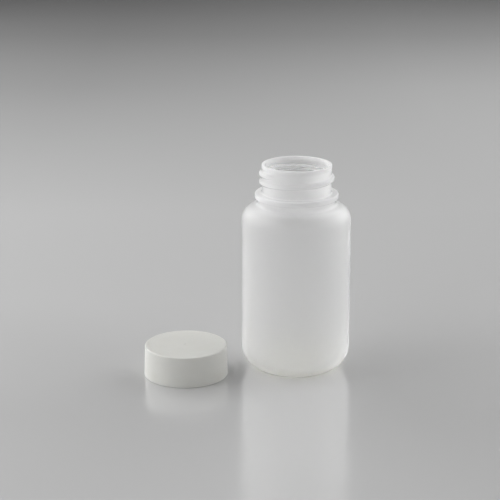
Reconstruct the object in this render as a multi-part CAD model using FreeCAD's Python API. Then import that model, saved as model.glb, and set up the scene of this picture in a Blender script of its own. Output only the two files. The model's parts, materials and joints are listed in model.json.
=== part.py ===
import FreeCAD, Part
import math
import os

# Wide-mouth plastic reagent bottle, nominal 100 mL, standing open with its screw cap lying beside it.
# Millimetres. The origin is on the bottle's axis at the height of the surface it stands on. +Z is up,
# +X is to the right and -Y is towards the viewer.

# body of the bottle
BODY_R = 24.0
BODY_WALL = 1.15
HEEL_R = 10.6
BASE_THICK = 1.5
PUSH_UP = 1.3
PUSH_UP_R = 9.0
FOOT_INNER_R = 12.4
FOOT_EDGE_R = 0.5

# shoulder and collar
COLLAR_R = 17.1
COLLAR_BOTTOM_Z = 75.6
COLLAR_WALL = 1.3
COLLAR_FILLET = 1.5
SHOULDER_SLOPE = 12.0
SHOULDER_R = 7.0

# bead round the neck
BEAD_R = 18.3
BEAD_BOTTOM_Z = 78.1
BEAD_TOP_Z = 80.6
BEAD_EDGE_R = 0.5

# neck and mouth
NECK_R = 15.2
LIP_R = 15.35
LIP_BOTTOM_Z = 91.7
LIP_STEP = 0.2
LIP_EDGE_R = 0.5
RIM_Z = 93.3
BORE_R = 13.75
BORE_BOTTOM_Z = 79.8
FLARE_BOTTOM_Z = 77.6

# screw thread, right-hand; angles are counted from +X and grow with height
PITCH = 3.6
THREAD_START = 120.0
THREAD_END = 590.0
THREAD_LEFT_Z = 85.5
THREAD_STEP = 10.0
RUN_OUT = 30.0
RIDGE_HEIGHT = 1.25
RIDGE_ROOT_HALF = 1.6
RIDGE_CREST_HALF = 0.45
ROOT_SINK = 0.4
KNEE_SHARE = 0.7

# cap, lying with its opening on the surface
CAP_X = -48.7
CAP_Y = -9.6
CAP_HEIGHT = 13.7
CAP_TOP_R = 18.1
CAP_BOTTOM_R = 18.55
CAP_TOP_THICK = 1.5
CAP_EDGE_R = 0.5
CAP_FOOT_R = 0.3
CAP_BORE_R = 16.85
CAP_LEAD_IN = 0.5
CAP_RIDGE_HEIGHT = 1.2
CAP_RIDGE_ROOT_HALF = 0.95
CAP_RIDGE_CREST_HALF = 0.35
CAP_THREAD_START_Z = 1.7
CAP_THREAD_TURNS = 1.4
GATE_DIMPLE_R = 1.1
GATE_DIMPLE_DEPTH = 0.25

# sealing liner held in the top of the cap
LINER_R = 16.4
LINER_THICK = 1.0
LINER_EDGE = 0.15
LINER_GAP = 0.05
RETAINER_R = 16.05
RETAINER_HEIGHT = 0.5


def rounded_corner(before, here, after, radius):
    """Start, middle and end of the arc that rounds one corner of a profile."""
    back = (before - here).normalize()
    forth = (after - here).normalize()
    half = back.getAngle(forth) / 2
    reach = radius / math.tan(half)
    centre = here + (back + forth).normalize() * (radius / math.sin(half))
    middle = centre + (here - centre).normalize() * radius
    return here + back * reach, middle, here + forth * reach


def turned(profile):
    """Solid of revolution from a closed list of (radius, height, corner radius)."""
    corners = [FreeCAD.Vector(r, 0, z) for r, z, _ in profile]
    edges = []
    ends = []
    for i, (_, _, radius) in enumerate(profile):
        here = corners[i]
        if radius == 0:
            ends.append((here, here))
            continue
        after = corners[(i + 1) % len(corners)]
        start, middle, end = rounded_corner(corners[i - 1], here, after, radius)
        edges.append(Part.Arc(start, middle, end).toShape())
        ends.append((start, end))
    for i, (_, leave) in enumerate(ends):
        arrive = ends[(i + 1) % len(ends)][0]
        if leave.distanceToPoint(arrive) > 1e-6:
            edges.append(Part.makeLine(leave, arrive))
    wire = Part.Wire(Part.__sortEdges__(edges))
    return Part.Face(wire).revolve(FreeCAD.Vector(0, 0, 0), FreeCAD.Vector(0, 0, 1), 360)


def ridge_section(angle, z, outline):
    """One cross-section of a thread ridge, from (radius, height above the ridge's middle) pairs."""
    turn = math.radians(angle)
    points = [FreeCAD.Vector(r * math.cos(turn), r * math.sin(turn), z + dz) for r, dz in outline]
    return Part.makePolygon(points + points[:1])


def ridge_outline(wall_r, height, out, root_half, crest_half):
    """Cross-section of a ridge standing on a wall; out is 1 for an outside thread and -1 for an inside one."""
    root_r = wall_r - out * ROOT_SINK
    knee_r = wall_r + out * height * KNEE_SHARE
    crest_r = wall_r + out * height
    knee_half = root_half + (crest_half - root_half) * KNEE_SHARE
    upper = [(root_r, root_half), (knee_r, knee_half), (crest_r, crest_half)]
    lower = [(r, -half) for r, half in reversed(upper)]
    return upper + lower


def thread_ridge(wall_r, height, out, start, end, start_z, root_half, crest_half):
    """Helical ridge that rises out of the wall at one end and sinks back into it at the other."""
    steps = round((end - start) / THREAD_STEP)
    sections = []
    for i in range(steps + 1):
        angle = start + (end - start) * i / steps
        z = start_z + PITCH * (angle - start) / 360
        from_end = min(angle - start, end - angle)
        share = math.sin(math.pi / 2 * min(1.0, from_end / RUN_OUT))
        rise = max(share, 0.05)
        outline = ridge_outline(wall_r, height * rise, out, root_half * (1 + rise) / 2, crest_half * rise)
        sections.append(ridge_section(angle, z, outline))
    return Part.makeLoft(sections, True, False)


def bottle():
    """The blown bottle in one piece: base, body, shoulder, collar, bead, threaded neck and rim."""
    slope = math.tan(math.radians(SHOULDER_SLOPE))
    shoulder_z = COLLAR_BOTTOM_Z - (BODY_R - COLLAR_R) * slope
    inner_r = BODY_R - BODY_WALL
    inner_collar_r = COLLAR_R - COLLAR_WALL
    drop = BODY_WALL / math.cos(math.radians(SHOULDER_SLOPE))
    inner_collar_z = COLLAR_BOTTOM_Z + COLLAR_WALL * slope - drop
    inner_shoulder_z = COLLAR_BOTTOM_Z - (inner_r - COLLAR_R) * slope - drop
    outside = [
        (0, PUSH_UP, 0),
        (PUSH_UP_R, PUSH_UP, 2.0),
        (FOOT_INNER_R, 0, FOOT_EDGE_R),
        (BODY_R, 0, HEEL_R),
        (BODY_R, shoulder_z, SHOULDER_R),
        (COLLAR_R, COLLAR_BOTTOM_Z, COLLAR_FILLET),
        (COLLAR_R, BEAD_BOTTOM_Z, 0.3),
        (BEAD_R, BEAD_BOTTOM_Z, BEAD_EDGE_R),
        (BEAD_R, BEAD_TOP_Z, BEAD_EDGE_R),
        (NECK_R, BEAD_TOP_Z, 0.5),
        (NECK_R, LIP_BOTTOM_Z - LIP_STEP, 0),
        (LIP_R, LIP_BOTTOM_Z, 0),
        (LIP_R, RIM_Z, LIP_EDGE_R),
    ]
    inside = [
        (BORE_R, RIM_Z, LIP_EDGE_R),
        (BORE_R, BORE_BOTTOM_Z, 1.5),
        (inner_collar_r, FLARE_BOTTOM_Z, 1.0),
        (inner_collar_r, inner_collar_z, COLLAR_FILLET - 0.3),
        (inner_r, inner_shoulder_z, SHOULDER_R - BODY_WALL),
        (inner_r, BASE_THICK, HEEL_R - BODY_WALL),
        (FOOT_INNER_R, BASE_THICK, 0.8),
        (PUSH_UP_R, PUSH_UP + BASE_THICK, 2.0),
        (0, PUSH_UP + BASE_THICK, 0),
    ]
    shell = turned(outside + inside)
    start_z = THREAD_LEFT_Z - PITCH * (180 - THREAD_START) / 360
    ridge = thread_ridge(
        NECK_R, RIDGE_HEIGHT, 1, THREAD_START, THREAD_END, start_z, RIDGE_ROOT_HALF, RIDGE_CREST_HALF
    )
    return shell.fuse(ridge)


def screw_cap():
    """The moulded cap: draughted skirt, flat top with a gate dimple, inside thread and liner retainer."""
    ceiling_z = CAP_HEIGHT - CAP_TOP_THICK
    retainer_top = ceiling_z - LINER_THICK - 2 * LINER_GAP
    shell = turned(
        [
            (0, CAP_HEIGHT - GATE_DIMPLE_DEPTH, 0),
            (GATE_DIMPLE_R / 2, CAP_HEIGHT - GATE_DIMPLE_DEPTH, 0.4),
            (GATE_DIMPLE_R, CAP_HEIGHT, 0),
            (CAP_TOP_R, CAP_HEIGHT, CAP_EDGE_R),
            (CAP_BOTTOM_R, 0, CAP_FOOT_R),
            (CAP_BORE_R + CAP_LEAD_IN, 0, 0.2),
            (CAP_BORE_R, CAP_LEAD_IN, 0),
            (CAP_BORE_R, retainer_top - 2 * RETAINER_HEIGHT, 0),
            (RETAINER_R, retainer_top - RETAINER_HEIGHT, 0.2),
            (RETAINER_R, retainer_top, 0.1),
            (CAP_BORE_R, retainer_top, 0),
            (CAP_BORE_R, ceiling_z, 0),
            (0, ceiling_z, 0),
        ]
    )
    end = THREAD_START + 360 * CAP_THREAD_TURNS
    ridge = thread_ridge(
        CAP_BORE_R,
        CAP_RIDGE_HEIGHT,
        -1,
        THREAD_START,
        end,
        CAP_THREAD_START_Z,
        CAP_RIDGE_ROOT_HALF,
        CAP_RIDGE_CREST_HALF,
    )
    return in_place(shell.fuse(ridge))


def cap_liner():
    """The soft sealing disc that sits against the cap's ceiling, above the retainer."""
    top = CAP_HEIGHT - CAP_TOP_THICK - LINER_GAP
    disc = Part.makeCylinder(LINER_R, LINER_THICK, FreeCAD.Vector(0, 0, top - LINER_THICK))
    return in_place(disc.makeChamfer(LINER_EDGE, [e for e in disc.Edges if e.Closed and len(e.Vertexes) == 1]))


def in_place(shape):
    """The shape moved from its own axis to where the cap lies."""
    moved = shape.copy()
    moved.translate(FreeCAD.Vector(CAP_X, CAP_Y, 0))
    return moved


os.makedirs("parts", exist_ok=True)
for name, build in (("bottle", bottle), ("screw_cap", screw_cap), ("cap_liner", cap_liner)):
    solid = build()
    solid.exportStep(f"parts/{name}.step")
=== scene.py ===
import json
import math

import bpy
import numpy as np
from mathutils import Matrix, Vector


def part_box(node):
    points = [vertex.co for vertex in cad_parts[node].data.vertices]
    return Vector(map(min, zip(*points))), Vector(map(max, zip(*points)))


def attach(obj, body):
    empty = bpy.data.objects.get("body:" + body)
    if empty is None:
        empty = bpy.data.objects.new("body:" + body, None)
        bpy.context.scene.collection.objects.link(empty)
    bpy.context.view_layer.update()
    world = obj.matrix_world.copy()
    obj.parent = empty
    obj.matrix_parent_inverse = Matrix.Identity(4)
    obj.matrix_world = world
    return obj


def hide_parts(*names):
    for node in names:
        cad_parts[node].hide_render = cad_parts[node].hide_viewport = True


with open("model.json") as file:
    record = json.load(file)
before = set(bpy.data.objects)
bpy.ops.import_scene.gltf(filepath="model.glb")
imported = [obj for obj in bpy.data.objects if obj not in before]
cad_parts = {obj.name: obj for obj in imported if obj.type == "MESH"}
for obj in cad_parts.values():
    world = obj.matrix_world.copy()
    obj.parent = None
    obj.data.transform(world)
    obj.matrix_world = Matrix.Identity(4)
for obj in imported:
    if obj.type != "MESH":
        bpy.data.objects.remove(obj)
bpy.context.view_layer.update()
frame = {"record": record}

mounts = {m["name"]: m for m in frame["record"]["mounts"]}

MM = 0.001
SEED = 7

# Body of the bottle, in millimetres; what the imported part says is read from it, here and below
bottle_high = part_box("bottle")[1]
BODY_R = bottle_high.x / MM
WALL = 1.15
HEEL_R = 10.6
BASE_THICK = 1.5
PUSH_UP = 1.3
PUSH_UP_R = 9.0
FOOT_R = 12.4

# Shoulder, collar and bead
COLLAR_R = 17.1
COLLAR_LOW = 75.6
COLLAR_WALL = 1.3
SHOULDER_SLOPE = math.radians(12.0)
SHOULDER_R = 7.0
BEAD_R = 18.3
BEAD_LOW = 78.1
BEAD_HIGH = 80.6

# Neck, lip and bore
NECK_R = 15.2
LIP_R = 15.35
LIP_LOW = 91.9
LIP_STEP = 0.5
RIM_Z = bottle_high.z / MM
BORE_R = mounts["mouth"]["dims"]["r_mm"]
BORE_LOW = 79.8
FLARE_LOW = 77.6

# Screw thread: angles in degrees
PITCH = 3.6
LAPS = 3
RIDGE_HEIGHT = 1.22
RIDGE_HALF = 1.55
CREST_HALF = 0.35
THREAD_START = 120.0
THREAD_END = 590.0
THREAD_START_Z = 84.9
RUN_OUT = 26.0
RUN_OUT_WIDTH = 0.55
ECHO_HEIGHT = 0.1
ECHO_HALF = 1.7

# Marks of moulding
SEAM_ANGLES = (8.0, 188.0)
SEAM_HEIGHT = 0.05
SEAM_WIDTH = 0.16
SCAR_DEPTH = 0.35
SCAR_WIDTH = 0.4
SCAR_REACH = 8.5
WAVE_INSIDE = 0.07
WAVE_OUTSIDE = 0.02

# Cap
CAP_AXIS = np.array(mounts["cap_rim"]["pos_m"]) / MM
cap_low, cap_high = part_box("screw_cap")
CAP_HEIGHT = cap_high.z / MM
CAP_BOTTOM_R = (cap_high.x - cap_low.x) / 2 / MM
CAP_TOP_R = CAP_BOTTOM_R - 0.45
CAP_BORE_R = 16.85
CEILING_Z = CAP_HEIGHT - 1.5
RETAINER_R = 16.05
CAP_RIDGE_HEIGHT = 1.2
CAP_RIDGE_HALF = 0.95
CAP_CREST_HALF = 0.25
CAP_THREAD_END = 624.0
CAP_THREAD_START_Z = 1.7
CAP_THREAD_TOP = 9.5
TOP_SINK = 0.05

# Liner, with the ring that a rim has pressed into it
liner_low, liner_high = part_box("cap_liner")
LINER_R = (liner_high.x - liner_low.x) / 2 / MM
LINER_LOW = liner_low.z / MM
LINER_HIGH = liner_high.z / MM
PRESSED = 0.09
PRESSED_INNER_R = 13.9
PRESSED_OUTER_R = 15.2
PRESSED_BANK = 0.5

# Meshes: columns round a piece, and lengths of the cuts along a profile
AROUND = 240
BESIDE_SEAM = (-1.1, -0.75, -0.5, -0.25, 0, 0.25, 0.5, 0.75, 1.1)
BODY_CUT = 1.6
NECK_CUT = 0.5
THREAD_CUT = 0.18
CAP_CUT = 1.0
CAP_THREAD_CUT = 0.2
LINER_CUT = 0.8

# Stage, lights and camera, in metres
AIM = Vector((0.0, 0.0, 0.04))
FLOOR_TONE = 0.635
ROOM_LIGHT = 0.062
SOFTBOXES = (
    # name, place, width, height, watts
    ("key_left", (-0.9, -0.1, 0.9), 0.7, 0.7, 2.69),
    ("side_left", (-1.0, 0.0, 0.45), 0.9, 0.8, 3.28),
    ("front_left", (-0.75, -0.7, 0.5), 0.8, 0.8, 2.76),
    ("back_left", (-0.75, 0.7, 0.5), 0.8, 0.8, 5.42),
    ("side_right", (1.0, 0.0, 0.45), 0.9, 0.8, 4.57),
    ("front_right", (0.75, -0.7, 0.5), 0.8, 0.8, 0.93),
    ("back_right", (0.75, 0.7, 0.5), 0.8, 0.8, 5.36),
    ("overhead_back", (0.0, 0.9, 1.1), 1.2, 0.8, 2.99),
)
CAMERA_PLACE = (-0.02034, -0.662, 0.25294)
CAMERA_DOWN = math.radians(16.71)
CAMERA_LENS = 112.86


# ---------------------------------------------------------------- shapes
def rounded(profile, step, turn=8.0):
    """Points (radius, height) along a profile of (radius, height, corner radius).

    step gives the longest cut, in millimetres, of a line whose middle is at (radius, height); turn gives that
    of a corner, in degrees.
    """
    pts = [np.array(p[:2], float) for p in profile]
    corners = []
    for i, (r, z, corner) in enumerate(profile):
        here = pts[i]
        if corner == 0 or i in (0, len(profile) - 1):
            corners.append([here])
            continue
        back = (pts[i - 1] - here) / np.linalg.norm(pts[i - 1] - here)
        forth = (pts[i + 1] - here) / np.linalg.norm(pts[i + 1] - here)
        half = math.acos(float(np.clip(back @ forth, -1, 1))) / 2
        bisector = (back + forth) / np.linalg.norm(back + forth)
        centre = here + bisector * corner / math.sin(half)
        start = here + back * corner / math.tan(half)
        end = here + forth * corner / math.tan(half)
        a0 = math.atan2(*(start - centre)[::-1])
        a1 = math.atan2(*(end - centre)[::-1])
        sweep = (a1 - a0 + math.pi) % (2 * math.pi) - math.pi
        n = max(3, math.ceil(abs(math.degrees(sweep)) / turn))
        arc = [a0 + sweep * k / n for k in range(n + 1)]
        corners.append([centre + corner * np.array([math.cos(a), math.sin(a)]) for a in arc])
    out = list(corners[0])
    for arc in corners[1:]:
        start = out[-1]
        length = np.linalg.norm(arc[0] - start)
        n = max(1, math.ceil(length / step(*(start + arc[0]) / 2)))
        out += [start + (arc[0] - start) * k / n for k in range(1, n + 1)]
        out += arc[1:]
    return np.array(out)


def smooth_step(x):
    x = np.clip(x, 0, 1)
    return x * x * (3 - 2 * x)


def ridge(angle, z, start, end, start_z, half, crest):
    """Height, from 0 to 1, of a right-hand ridge at angles in degrees and heights in millimetres."""
    best = np.zeros(np.broadcast(angle, z).shape)
    for lap in range(LAPS):
        along = angle + 360 * lap
        from_end = np.minimum(along - start, end - along)
        fade = np.sin(np.pi / 2 * np.clip(from_end / RUN_OUT, 0, 1))
        away = np.abs(z - start_z - PITCH * (along - start) / 360)
        wide = half * (RUN_OUT_WIDTH + (1 - RUN_OUT_WIDTH) * fade)
        flat = crest * fade
        shape = 0.5 + 0.5 * np.cos(np.pi * np.clip((away - flat) / (wide - flat), 0, 1))
        best = np.maximum(best, shape * fade)
    return best


def waviness(seed, terms, size, angle, z, tall):
    """Smooth unevenness in millimetres, the same each run."""
    rng = np.random.default_rng(seed)
    total = 0.0
    for k in range(1, terms + 1):
        a, b = rng.uniform(0, 2 * np.pi, 2)
        total = total + np.cos(k * np.radians(angle) + a) * np.cos(z * k * 2 * np.pi / tall + b) / k
    return size * total


def columns(seams=()):
    """Angles round a piece, closer together beside a parting line."""
    angles = set(np.round(np.arange(AROUND) * 360 / AROUND, 6))
    for seam in seams:
        angles |= {round((seam + d) % 360, 6) for d in BESIDE_SEAM}
    return np.array(sorted(angles))


def link_mesh(name, verts, faces):
    mesh = bpy.data.meshes.new(name)
    mesh.from_pydata(verts, [], faces)
    mesh.validate()
    mesh.shade_smooth()
    piece = bpy.data.objects.new(name, mesh)
    bpy.context.scene.collection.objects.link(piece)
    return piece


def turned(name, points, angles, shift, axis=(0.0, 0.0)):
    """Closed surface of revolution through points whose first and last lie on the axis.

    shift(angle, radius, height, index) gives the moves outwards and upwards of the place at an angle on the
    point with that index.
    """
    inner = points[1:-1]
    index = np.arange(1, len(points) - 1)[:, None]
    r = np.repeat(inner[:, :1], len(angles), axis=1)
    z = np.repeat(inner[:, 1:], len(angles), axis=1)
    out, up = shift(angles[None, :], r, z, index)
    r, z = r + out, z + up
    x = (r * np.cos(np.radians(angles)) + axis[0]) * MM
    y = (r * np.sin(np.radians(angles)) + axis[1]) * MM
    verts = np.stack([x, y, z * MM], axis=-1).reshape(-1, 3)
    ends = [(axis[0] * MM, axis[1] * MM, points[k][1] * MM) for k in (0, -1)]
    n, m = len(inner), len(angles)
    faces = []
    for i in range(n - 1):
        for j in range(m):
            k = (j + 1) % m
            faces.append((i * m + j, i * m + k, (i + 1) * m + k, (i + 1) * m + j))
    for j in range(m):
        k = (j + 1) % m
        faces.append((n * m, k, j))
        faces.append((n * m + 1, (n - 1) * m + j, (n - 1) * m + k))
    return link_mesh(name, [tuple(v) for v in np.vstack([verts, ends])], faces)


# ---------------------------------------------------------------- bottle
def bottle_profile():
    """The blown wall, up the outside from the middle of the base and down the inside."""
    slope = math.tan(SHOULDER_SLOPE)
    drop = WALL / math.cos(SHOULDER_SLOPE)
    inner_r = BODY_R - WALL
    inner_collar_r = COLLAR_R - COLLAR_WALL
    return [
        (0, PUSH_UP, 0),
        (PUSH_UP_R, PUSH_UP, 2.0),
        (FOOT_R, 0, 0.5),
        (BODY_R, 0, HEEL_R),
        (BODY_R, COLLAR_LOW - (BODY_R - COLLAR_R) * slope, SHOULDER_R),
        (COLLAR_R, COLLAR_LOW, 1.5),
        (COLLAR_R, BEAD_LOW, 0.3),
        (BEAD_R, BEAD_LOW, 0.6),
        (BEAD_R, BEAD_HIGH, 0.7),
        (NECK_R, BEAD_HIGH, 0.7),
        (NECK_R, LIP_LOW - LIP_STEP, 0.5),
        (LIP_R, LIP_LOW, 0.5),
        (LIP_R, RIM_Z, 0.5),
        (BORE_R, RIM_Z, 0.5),
        (BORE_R, BORE_LOW, 1.5),
        (inner_collar_r, FLARE_LOW, 1.0),
        (inner_collar_r, COLLAR_LOW + COLLAR_WALL * slope - drop, 1.2),
        (inner_r, COLLAR_LOW - (inner_r - COLLAR_R) * slope - drop, SHOULDER_R - WALL),
        (inner_r, BASE_THICK, HEEL_R - WALL),
        (FOOT_R, BASE_THICK, 0.8),
        (PUSH_UP_R, PUSH_UP + BASE_THICK, 2.0),
        (0, PUSH_UP + BASE_THICK, 0),
    ]


def bottle_cut(r, z):
    """Fine on the outside of the neck, where the thread stands, and coarse below the neck."""
    if z < BORE_LOW + 0.2:
        return BODY_CUT
    return THREAD_CUT if r > NECK_R - 0.5 else NECK_CUT


def end_of_outside(points):
    """Index of the outermost of the highest points, where the flat of the rim starts."""
    at_edge = points[:, 0] > LIP_R - 0.6
    return int(np.argmax(np.where(at_edge, points[:, 1] + points[:, 0] * 1e-6, 0.0)))


def thread_relief(outer, angle, z):
    """The thread outside, and its faint echo in the wall inside."""
    thread = (angle, z, THREAD_START, THREAD_END, THREAD_START_Z)
    on_neck = outer & (z > BEAD_HIGH + 0.2) & (z < LIP_LOW - 0.1)
    in_neck = ~outer & (z > BEAD_HIGH) & (z < LIP_LOW + 0.3)
    outside = RIDGE_HEIGHT * ridge(*thread, RIDGE_HALF, CREST_HALF)
    inside = ECHO_HEIGHT * ridge(*thread, ECHO_HALF, 0.0)
    return np.where(on_neck, outside, 0.0) + np.where(in_neck, inside, 0.0)


def wall_relief(outer, angle, r, z):
    """Unevenness of the blown body, inwards only on the outside, and none in the middle of the base."""
    body = smooth_step((r - 6) / 8) * smooth_step((79 - z) / 6)
    inside = waviness(SEED, 7, WAVE_INSIDE, angle, z, 90.0)
    outside = -np.abs(waviness(SEED + 1, 5, WAVE_OUTSIDE, angle, z, 70.0))
    return body * np.where(outer, outside, inside)


def seam_relief(outer, angle, r, z):
    """Parting line of the mould halves, where it stays within the radius of the body."""
    total = 0.0
    for seam in SEAM_ANGLES:
        away = np.radians(np.abs((angle - seam + 180) % 360 - 180)) * r
        total = total + SEAM_HEIGHT * np.exp(-((away / SEAM_WIDTH) ** 2))
    return np.where(outer & (r < BODY_R - 0.3) & (z > 2), total, 0.0)


def scar_relief(outer, angle, r, z):
    """Pinch-off scar across the pushed-up middle of the base."""
    turn = np.radians(angle - SEAM_ANGLES[0])
    beside, along = r * np.sin(turn), r * np.cos(turn)
    scar = np.exp(-((beside / SCAR_WIDTH) ** 2)) * smooth_step((SCAR_REACH - np.abs(along)) / 1.5)
    return np.where(outer & (z < 4) & (r < PUSH_UP_R + 0.5), -SCAR_DEPTH * scar, 0.0)


def build_bottle():
    points = rounded(bottle_profile(), bottle_cut)
    rim = end_of_outside(points)

    def shift(angle, r, z, index):
        outer = index <= rim
        out = thread_relief(outer, angle, z) + wall_relief(outer, angle, r, z)
        return out + seam_relief(outer, angle, r, z), scar_relief(outer, angle, r, z)

    return turned("blown_bottle", points, columns(SEAM_ANGLES), shift)


# ---------------------------------------------------------------- cap
def cap_profile():
    """From the gate dimple over the skirt and up the inside to the ceiling."""
    retainer_high = LINER_LOW - 0.05
    return [
        (0, CAP_HEIGHT - 0.4, 0),
        (0.5, CAP_HEIGHT - 0.36, 0.3),
        (1.15, CAP_HEIGHT - 0.07, 0.3),
        (CAP_TOP_R - 1.7, CAP_HEIGHT - 0.09, 0.4),
        (CAP_TOP_R - 1.35, CAP_HEIGHT, 0.3),
        (CAP_TOP_R, CAP_HEIGHT, 0.5),
        (CAP_BOTTOM_R, 0.0, 0.35),
        (CAP_BORE_R + 0.5, 0.0, 0.2),
        (CAP_BORE_R, 0.5, 0.2),
        (CAP_BORE_R, retainer_high - 1.0, 0.1),
        (RETAINER_R, retainer_high - 0.5, 0.2),
        (RETAINER_R, retainer_high, 0.1),
        (CAP_BORE_R, retainer_high, 0.1),
        (CAP_BORE_R, CEILING_Z, 0.2),
        (0, CEILING_Z, 0),
    ]


def cap_cut(r, z):
    """Fine in the bore, where the thread stands."""
    return CAP_THREAD_CUT if z < 9.0 and r < CAP_BORE_R + 0.1 else CAP_CUT


def cap_shift(angle, r, z, index):
    """The thread inside, and a top that sinks slightly towards its middle."""
    in_bore = (r < CAP_BORE_R + 0.01) & (r > CAP_BORE_R - 0.45) & (z < CAP_THREAD_TOP)
    thread = (THREAD_START, CAP_THREAD_END, CAP_THREAD_START_Z, CAP_RIDGE_HALF, CAP_CREST_HALF)
    height = ridge(angle, z, *thread) * smooth_step((z - 0.5) / 0.6)
    on_top = (z > CAP_HEIGHT - 0.3) & (r < CAP_TOP_R - 1.0)
    sink = smooth_step((CAP_TOP_R - 1.0 - r) / 6.0)
    return np.where(in_bore, -CAP_RIDGE_HEIGHT * height, 0.0), np.where(on_top, -TOP_SINK * sink, 0.0)


def build_cap():
    points = rounded(cap_profile(), cap_cut, turn=10.0)
    return turned("moulded_cap", points, columns(), cap_shift, CAP_AXIS[:2])


# ---------------------------------------------------------------- liner
def liner_profile():
    return [
        (0, LINER_LOW, 0),
        (PRESSED_INNER_R - PRESSED_BANK, LINER_LOW, 0.4),
        (PRESSED_INNER_R, LINER_LOW + PRESSED, 0.4),
        (PRESSED_OUTER_R, LINER_LOW + PRESSED, 0.4),
        (PRESSED_OUTER_R + PRESSED_BANK, LINER_LOW, 0.4),
        (LINER_R, LINER_LOW, 0.22),
        (LINER_R, LINER_HIGH, 0.22),
        (0, LINER_HIGH, 0),
    ]


def liner_shift(angle, r, z, index):
    """A soft face that is very slightly uneven."""
    uneven = 1 + waviness(SEED + 3, 6, 0.4, angle, r, 20.0)
    lift = 0.02 * smooth_step((LINER_R - 0.5 - r) / 2) * uneven
    return np.zeros_like(r), np.where(z < LINER_LOW + 0.3, np.abs(lift), 0.0)


def build_liner():
    points = rounded(liner_profile(), lambda r, z: LINER_CUT, turn=15.0)
    return turned("sealing_liner", points, columns(), liner_shift, CAP_AXIS[:2])


# ---------------------------------------------------------------- materials
class Nodes:
    """Short way to add and join shader nodes. Noise stays mostly between 0.3 and 0.7."""

    def __init__(self, name):
        self.mat = bpy.data.materials.new(name)
        self.mat.use_nodes = True
        self.tree = self.mat.node_tree
        self.shader = self.tree.nodes["Principled BSDF"]
        self.where = self.add("ShaderNodeTexCoord").outputs["Object"]

    def add(self, kind, inputs=None, **props):
        node = self.tree.nodes.new(kind)
        for key, value in props.items():
            setattr(node, key, value)
        for key, value in (inputs or {}).items():
            self.put(node.inputs[key], value)
        return node

    def put(self, socket, value):
        if isinstance(value, bpy.types.NodeSocket):
            self.tree.links.new(value, socket)
        else:
            socket.default_value = value

    def noise(self, scale, detail, stretch=(1, 1, 1)):
        vec = self.add("ShaderNodeMapping", {"Vector": self.where, "Scale": stretch}).outputs[0]
        return self.add("ShaderNodeTexNoise", {"Vector": vec, "Scale": scale, "Detail": detail}).outputs[0]

    def span(self, value, low, high, a=0.3, b=0.7):
        """low where value is a, high where it is b, and held beyond both."""
        ends = {"From Min": a, "From Max": b, "To Min": low, "To Max": high}
        return self.add("ShaderNodeMapRange", {"Value": value, **ends}).outputs[0]

    def zone(self, value, a, b, low=0.0, high=1.0):
        """The same for a place, with a and b in millimetres."""
        return self.span(value, low, high, a * MM, b * MM)

    def tint(self, value, low, high):
        ramp = self.add("ShaderNodeValToRGB", {"Fac": value})
        for stop, place, colour in zip(ramp.color_ramp.elements, (0.3, 0.7), (low, high)):
            stop.position, stop.color = place, (*colour, 1)
        return ramp.outputs[0]

    def math(self, operation, a, b):
        return self.add("ShaderNodeMath", {0: a, 1: b}, operation=operation).outputs[0]

    def mix(self, share, a, b):
        return self.add("ShaderNodeMix", {0: share, 2: a, 3: b}).outputs[0]

    def blend(self, share, a, b):
        return self.add("ShaderNodeMix", {0: share, 6: a, 7: b}, data_type="RGBA").outputs[2]

    def bump(self, height, distance, strength=1.0, after=None):
        inputs = {"Height": height, "Distance": distance, "Strength": strength}
        if after is not None:
            inputs["Normal"] = after
        return self.add("ShaderNodeBump", inputs).outputs[0]

    def set(self, **sockets):
        for key, value in sockets.items():
            self.put(self.shader.inputs[key.replace("_", " ")], value)
        return self.mat


def natural_plastic():
    """Unpigmented polypropylene: matt from the mould, smooth inside the neck, milkier at lip and crests."""
    n = Nodes("frosted_polypropylene")
    height = n.add("ShaderNodeSeparateXYZ", {"Vector": n.where}).outputs["Z"]
    flat = n.add("ShaderNodeVectorMath", {0: n.where, 1: (1, 1, 0)}, operation="MULTIPLY").outputs[0]
    radius = n.add("ShaderNodeVectorMath", {0: flat}, operation="LENGTH").outputs["Value"]
    # where each kind of surface is
    lip = n.zone(height, LIP_LOW - LIP_STEP, LIP_LOW)
    crest = n.math("MULTIPLY", n.zone(radius, 15.3, 16.3), n.zone(height, BEAD_LOW - 0.5, BEAD_LOW))
    milky = n.math("MAXIMUM", lip, crest)
    foot = n.zone(height, 0.8, 5, 1, 0)
    in_neck = n.math("MULTIPLY", n.zone(radius, 14.4, 14.8, 1, 0), n.zone(height, 79, 80))
    in_neck = n.math("MULTIPLY", in_neck, n.span(lip, 1, 0, 0, 1))
    # roughness
    body = n.math("SUBTRACT", n.zone(height, 2, 18, 0.78, 0.6), n.zone(height, 68.5, 74.5, 0, 0.11))
    neck = n.span(milky, 0.84, 0.9, 0, 1)
    outside = n.mix(n.zone(height, 74.5, 76.5), body, neck)
    cloud = n.noise(90, 3)
    rough = n.math("ADD", n.mix(in_neck, outside, 0.14), n.span(cloud, -0.02, 0.02))
    # relief, colour and gloss
    matt = n.span(in_neck, 1.0, 0.05, 0, 1)
    bump = n.bump(cloud, 0.08 * MM, matt)
    bump = n.bump(n.noise(2600, 2), 0.008 * MM, matt, after=bump)
    plain = n.tint(n.noise(260, 4, (1, 1, 0.12)), (0.988, 0.988, 0.988), (0.999, 0.999, 0.999))
    gloss = n.math("MULTIPLY", n.zone(height, 10, 60, 0, 0.5), n.zone(height, 66, 71, 1, 0.45))
    return n.set(
        Base_Color=n.blend(foot, plain, (1.0, 0.995, 0.95, 1)),
        Roughness=rough,
        Normal=bump,
        Transmission_Weight=n.span(milky, 1.0, 0.5, 0, 1),
        Coat_Weight=gloss,
        Coat_Roughness=0.12,
        IOR=1.49,
    )


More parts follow.
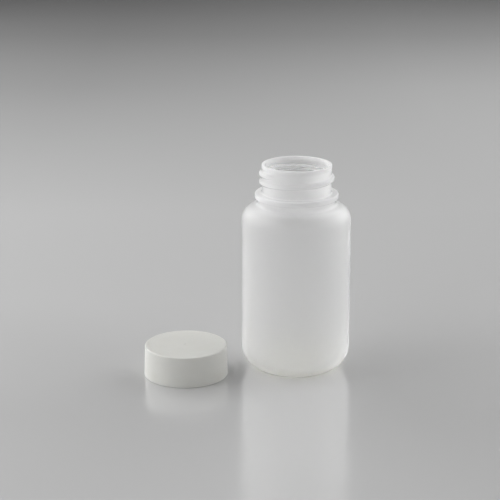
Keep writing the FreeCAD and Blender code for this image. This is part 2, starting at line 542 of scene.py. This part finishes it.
def cap_plastic():
    """Opaque off-white plastic with a satin face, its colour slightly clouded."""
    n = Nodes("satin_cap")
    cloud = n.noise(140, 4)
    grain = n.noise(3200, 3)
    flow = n.noise(420, 3, (1, 1, 0.3))
    bump = n.bump(flow, 0.03 * MM)
    bump = n.bump(grain, 0.02 * MM, after=bump)
    return n.set(
        Base_Color=n.tint(cloud, (0.785, 0.784, 0.745), (0.808, 0.807, 0.771)),
        Roughness=n.span(grain, 0.27, 0.36),
        Normal=bump,
        Subsurface_Weight=0.15,
        Subsurface_Radius=(1.0, 0.9, 0.8),
        Subsurface_Scale=1.0 * MM,
        IOR=1.5,
    )


def liner_foam():
    """Pale foam with fine cells."""
    n = Nodes("soft_foam")
    cells = n.add("ShaderNodeTexVoronoi", {"Vector": n.where, "Scale": 3200.0}).outputs["Distance"]
    cloud = n.noise(300, 3)
    return n.set(
        Base_Color=n.tint(cloud, (0.86, 0.86, 0.85), (0.91, 0.91, 0.9)),
        Roughness=n.span(cells, 0.55, 0.75, 0.0, 0.8),
        Normal=n.bump(cells, 0.03 * MM),
    )


def floor_with_painted_falloff():
    """Satin grey card with painted shade: its tone darkens towards the back as painted light falloff, dips
    slightly at the very front, and leans across, darker on the right near the front and darker on the left
    towards the back.
    """
    n = Nodes("floor_with_painted_falloff")
    place = n.add("ShaderNodeSeparateXYZ", {"Vector": n.where}).outputs
    # painted light falloff: the tone darkens towards the back
    back = n.span(place["Y"], 1.0, 0.69, 0.27, 0.95)
    # slightly darker at the very front
    front = n.span(place["Y"], 0.93, 1.0, -0.06, 0.09)
    # painted shade across the floor: darker on the right near the front, as if lit from the left, and darker
    # on the left towards the back
    painted_shade_lean = n.span(place["Y"], -0.3, 0.78, 0.25, 0.67)
    painted_shade_across = n.span(place["X"], -0.15, 0.15, -0.17, 0.13)
    painted_shade_drift = n.math("ADD", n.math("MULTIPLY", painted_shade_lean, painted_shade_across), 1.0)
    tone = n.math("MULTIPLY", n.math("MULTIPLY", back, front), n.math("MULTIPLY", painted_shade_drift, FLOOR_TONE))
    return n.set(
        Base_Color=n.add("ShaderNodeCombineColor", {0: tone, 1: tone, 2: tone}).outputs[0],
        Roughness=0.2,
        IOR=1.7,
    )


# ---------------------------------------------------------------- stage
def build_stage():
    """A round floor that sweeps up into a wall on every side."""
    flat, bend, tall, around = 2.4, 0.8, 2.4, 96
    quarter = np.linspace(0, math.pi / 2, 20)
    line = [(1.0, 0.0)] + [(flat + bend * math.sin(a), bend - bend * math.cos(a)) for a in quarter]
    line.append((flat + bend, tall))
    turns = np.linspace(0, 2 * math.pi, around, endpoint=False)
    verts = [(0.0, 0.0, 0.0)] + [(r * math.cos(t), r * math.sin(t), z) for r, z in line for t in turns]
    faces = [(0, 1 + j, 1 + (j + 1) % around) for j in range(around)]
    for i in range(len(line) - 1):
        near, far = 1 + i * around, 1 + (i + 1) * around
        for j in range(around):
            k = (j + 1) % around
            faces.append((near + j, far + j, far + k, near + k))
    sweep = link_mesh("studio_sweep", verts, faces)
    sweep.data.materials.append(floor_with_painted_falloff())


def build_softbox(name, place, width, height, watts):
    light = bpy.data.lights.new(name, "AREA")
    light.shape = "RECTANGLE"
    light.size, light.size_y = width, height
    light.energy = watts
    lamp = bpy.data.objects.new(name, light)
    bpy.context.scene.collection.objects.link(lamp)
    lamp.location = place
    lamp.rotation_mode = "QUATERNION"
    lamp.rotation_quaternion = (AIM - Vector(place)).to_track_quat("-Z", "Y")


def build_lights():
    world = bpy.data.worlds.new("studio_room")
    world.use_nodes = True
    background = world.node_tree.nodes["Background"]
    background.inputs["Color"].default_value = (1.0, 1.0, 1.0, 1)
    background.inputs["Strength"].default_value = ROOM_LIGHT
    bpy.context.scene.world = world
    for softbox in SOFTBOXES:
        build_softbox(*softbox)


def build_camera():
    data = bpy.data.cameras.new("camera")
    data.lens = CAMERA_LENS
    data.sensor_width = 36.0
    data.clip_start, data.clip_end = 0.01, 20.0
    camera = bpy.data.objects.new("camera", data)
    bpy.context.scene.collection.objects.link(camera)
    camera.location = CAMERA_PLACE
    camera.rotation_euler = (math.pi / 2 - CAMERA_DOWN, 0, 0)
    bpy.context.scene.camera = camera


def set_light_paths():
    """Frosted walls behind one another need many bounces."""
    cycles = bpy.context.scene.cycles
    cycles.max_bounces = cycles.transmission_bounces = 64
    cycles.diffuse_bounces = 12
    cycles.glossy_bounces = 16


bottle = build_bottle()
cap = build_cap()
liner = build_liner()
for piece, body, finish, slot in (
    (bottle, "bottle", natural_plastic(), "natural_plastic"),
    (cap, "screw_cap", cap_plastic(), "cap_plastic"),
    (liner, "cap_liner", liner_foam(), "liner_foam"),
):
    piece.data.materials.append(finish)
    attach(piece, body)
    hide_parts(body)

build_stage()
build_lights()
build_camera()
set_light_paths()
bpy.context.scene.view_settings.view_transform = "Standard"
